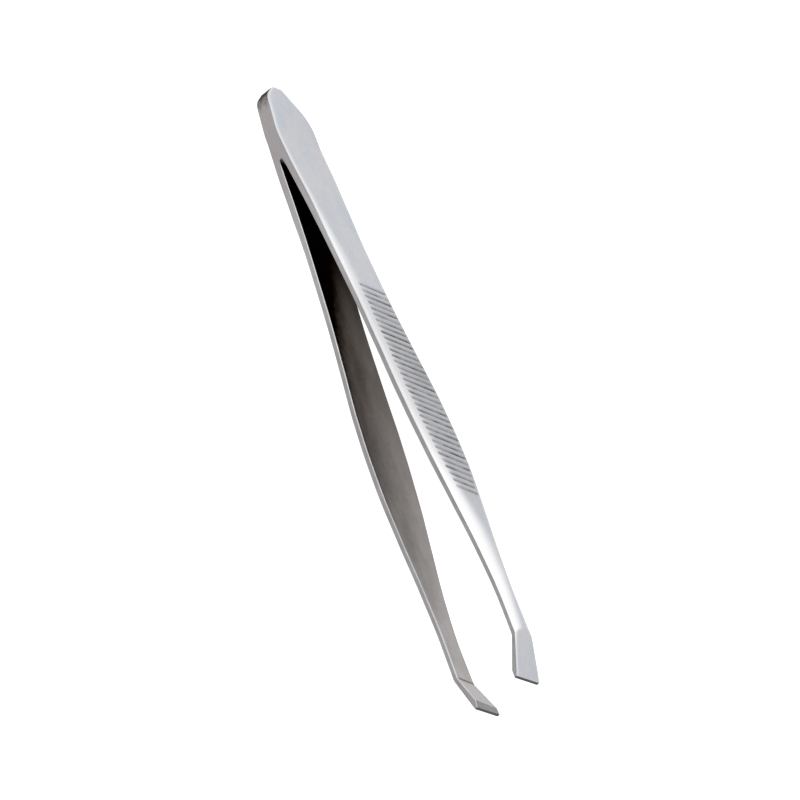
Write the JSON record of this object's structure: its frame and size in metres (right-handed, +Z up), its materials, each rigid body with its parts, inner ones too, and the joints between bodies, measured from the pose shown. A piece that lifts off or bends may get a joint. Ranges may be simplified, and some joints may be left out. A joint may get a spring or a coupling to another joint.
{
  "type": "tweezers",
  "caption": "Sprung steel tweezers: flat arms welded face to face at a closed butt, with grooved grips, slim necks and inward-folded flat tips that close on squeezing.",
  "frame": {"origin": "centre of the outer box in plan, at the level of the lower edges that the tweezers lie on", "axes": "+X from the closed butt towards the tips, +Y the way the right arm opens, +Z up across the arms' width"},
  "size_m": [0.0944, 0.0114, 0.0082],
  "materials": {
    "arm_steel": "satin brushed stainless steel, polished on the rims",
    "weld_steel": "ground weld, fine cross grain"
  },
  "bodies": {
    "butt": {"right_arm_butt": "arm_steel", "left_arm_butt": "arm_steel", "butt_weld": "weld_steel"},
    "right_arm": {"right_arm_blade": "arm_steel"},
    "left_arm": {"left_arm_blade": "arm_steel"}
  },
  "joints": [
    {"name": "right_arm_flex", "type": "hinge", "parent": "butt", "child": "right_arm", "pos_m": [-0.02325, 0.00173, 0.0041], "axis": [0, 0, -1], "range_deg": [0, 2.55], "stiffness_Nm_per_rad": 3},
    {"name": "left_arm_flex", "type": "hinge", "parent": "butt", "child": "left_arm", "pos_m": [-0.02325, -0.00173, 0.0041], "axis": [0, 0, 1], "range_deg": [0, 2.55], "stiffness_Nm_per_rad": 3}
  ]
}
